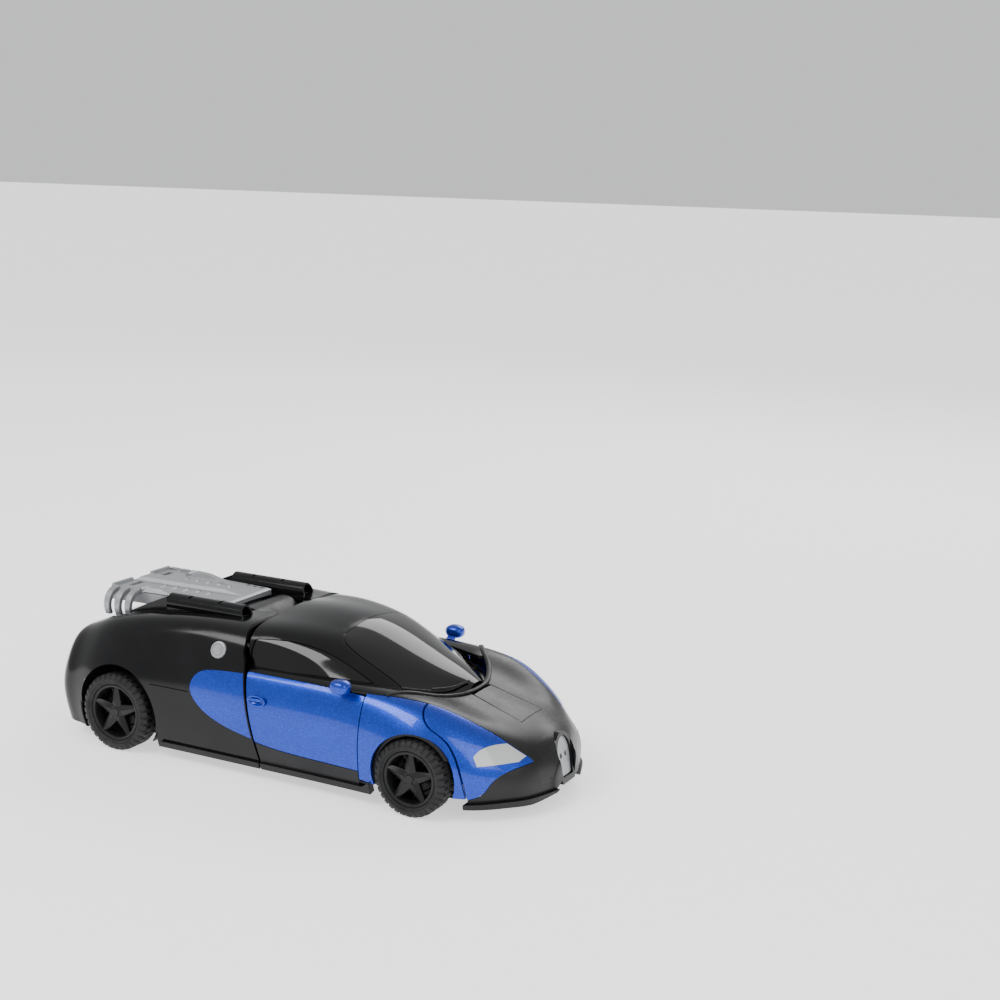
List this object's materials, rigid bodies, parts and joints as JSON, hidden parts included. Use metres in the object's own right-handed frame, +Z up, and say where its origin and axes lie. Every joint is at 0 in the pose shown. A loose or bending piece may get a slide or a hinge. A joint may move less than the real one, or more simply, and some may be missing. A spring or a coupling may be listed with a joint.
{
  "type": "transforming robot car",
  "caption": "Toy car whose middle turns up about the hip to stand as a robot, with swing-out door arms and a sliding head.",
  "frame": {"origin": "on the ground below the middle of the car's box, car mode", "axes": "+X towards the front of the car, +Y to its left, +Z up"},
  "size_m": [0.266, 0.1192, 0.0758],
  "materials": {
    "black_gloss": "glossy moulded",
    "black_satin": "satin moulded",
    "dark_hood": "semi-matt",
    "metallic_blue": "metallic sprayed",
    "silver_paint": "metallic sprayed",
    "pearl_lamp": "pearl sprayed",
    "tyre_rubber": "matt",
    "steel": "plain",
    "white_plastic": "plain",
    "red_lens": "moulded lens",
    "board_green": "solder mask"
  },
  "bodies": {
    "base": {"rear_shell": "black_gloss", "chassis_base": "black_satin", "foot_block": "black_satin", "hip_pin": "steel", "engine_cover": "silver_paint", "engine_fins": "silver_paint", "intake_pods": "black_satin", "tail_accents": "metallic_blue", "fuel_caps": "pearl_lamp", "tail_lamps": "red_lens", "battery_pack": "black_satin", "circuit_board": "board_green", "drive_motor": "steel", "fold_motor": "steel", "chassis_screws": "steel"},
    "rear_wheels": {"rear_axle": "steel", "drive_gear": "white_plastic", "rear_tyre_left": "tyre_rubber", "rear_rim_left": "black_satin", "rear_tyre_right": "tyre_rubber", "rear_rim_right": "black_satin"},
    "roller": {"foot_roller": "black_satin"},
    "switch": {"power_switch": "black_satin"},
    "torso": {"torso_frame": "black_satin", "chest_armour": "metallic_blue", "chest_plate": "silver_paint", "waist_armour": "metallic_blue", "waist_plate": "silver_paint", "thigh_plates": "silver_paint", "knee_pads": "metallic_blue", "roof_shell": "black_gloss", "windscreen": "black_gloss", "side_windows": "black_gloss"},
    "nose": {"bonnet": "dark_hood", "bumper": "black_satin", "front_wing_left": "metallic_blue", "front_wing_right": "metallic_blue", "headlights": "pearl_lamp", "grille_plate": "silver_paint", "grille_surround": "black_gloss", "nose_frame": "black_satin"},
    "head": {"head_lid": "dark_hood", "robot_head": "black_satin", "robot_face": "dark_hood"},
    "link_left": {"arm_link_left": "black_satin"},
    "arm_left": {"door_left": "metallic_blue", "front_fender_left": "metallic_blue", "side_skirt_left": "black_satin", "mirror_left": "metallic_blue", "arm_frame_left": "black_satin"},
    "front_wheel_left": {"front_tyre_left": "tyre_rubber", "front_rim_left": "black_satin"},
    "link_right": {"arm_link_right": "black_satin"},
    "arm_right": {"door_right": "metallic_blue", "front_fender_right": "metallic_blue", "side_skirt_right": "black_satin", "mirror_right": "metallic_blue", "arm_frame_right": "black_satin"},
    "front_wheel_right": {"front_tyre_right": "tyre_rubber", "front_rim_right": "black_satin"}
  },
  "joints": [
    {"name": "body_rise", "type": "hinge", "parent": "base", "child": "torso", "pos_m": [-0.037, 0, 0.059], "axis": [0, -1, 0], "range_deg": [0, 90]},
    {"name": "nose_level", "type": "hinge", "parent": "torso", "child": "nose", "pos_m": [0.0842, 0, 0.0349], "axis": [0, -1, 0], "range_deg": [-95.4, 0]},
    {"name": "head_slide", "type": "slide", "parent": "torso", "child": "head", "axis": [0.8944, 0, 0.4472], "range_m": [0, 0.02461]},
    {"name": "link_swing_left", "type": "hinge", "parent": "nose", "child": "link_left", "pos_m": [0.09, 0.0395, 0.0175], "axis": [0, 0, -1], "range_deg": [0, 90.2]},
    {"name": "arm_level_left", "type": "hinge", "parent": "link_left", "child": "arm_left", "pos_m": [0.048, 0.0395, 0.0175], "axis": [0, 0, -1], "range_deg": [-90.2, 0]},
    {"name": "front_wheel_spin_left", "type": "hinge", "parent": "arm_left", "child": "front_wheel_left", "pos_m": [0.079, 0.052, 0.018], "axis": [0, 1, 0], "continuous": true},
    {"name": "link_swing_right", "type": "hinge", "parent": "nose", "child": "link_right", "pos_m": [0.09, -0.0395, 0.0175], "axis": [0, 0, 1], "range_deg": [0, 90.2]},
    {"name": "arm_level_right", "type": "hinge", "parent": "link_right", "child": "arm_right", "pos_m": [0.048, -0.0395, 0.0175], "axis": [0, 0, 1], "range_deg": [-90.2, 0]},
    {"name": "front_wheel_spin_right", "type": "hinge", "parent": "arm_right", "child": "front_wheel_right", "pos_m": [0.079, -0.052, 0.018], "axis": [0, 1, 0], "continuous": true},
    {"name": "rear_wheel_spin", "type": "hinge", "parent": "base", "child": "rear_wheels", "pos_m": [-0.088, 0, 0.0195], "axis": [0, 1, 0], "continuous": true},
    {"name": "roller_spin", "type": "hinge", "parent": "base", "child": "roller", "pos_m": [0.038, 0, 0.0044], "axis": [0, 1, 0], "continuous": true},
    {"name": "power_switch_slide", "type": "slide", "parent": "base", "child": "switch", "axis": [1, 0, 0], "range_m": [0, 0.003]}
  ],
  "couplings": [
    {"joint": "nose_level", "follows": "body_rise", "ratio": -1.0589},
    {"joint": "head_slide", "follows": "body_rise", "m_per_rad": 0.015659},
    {"joint": "link_swing_left", "follows": "body_rise", "ratio": 1},
    {"joint": "arm_level_left", "follows": "body_rise", "ratio": -1},
    {"joint": "link_swing_right", "follows": "body_rise", "ratio": 1},
    {"joint": "arm_level_right", "follows": "body_rise", "ratio": -1}
  ]
}
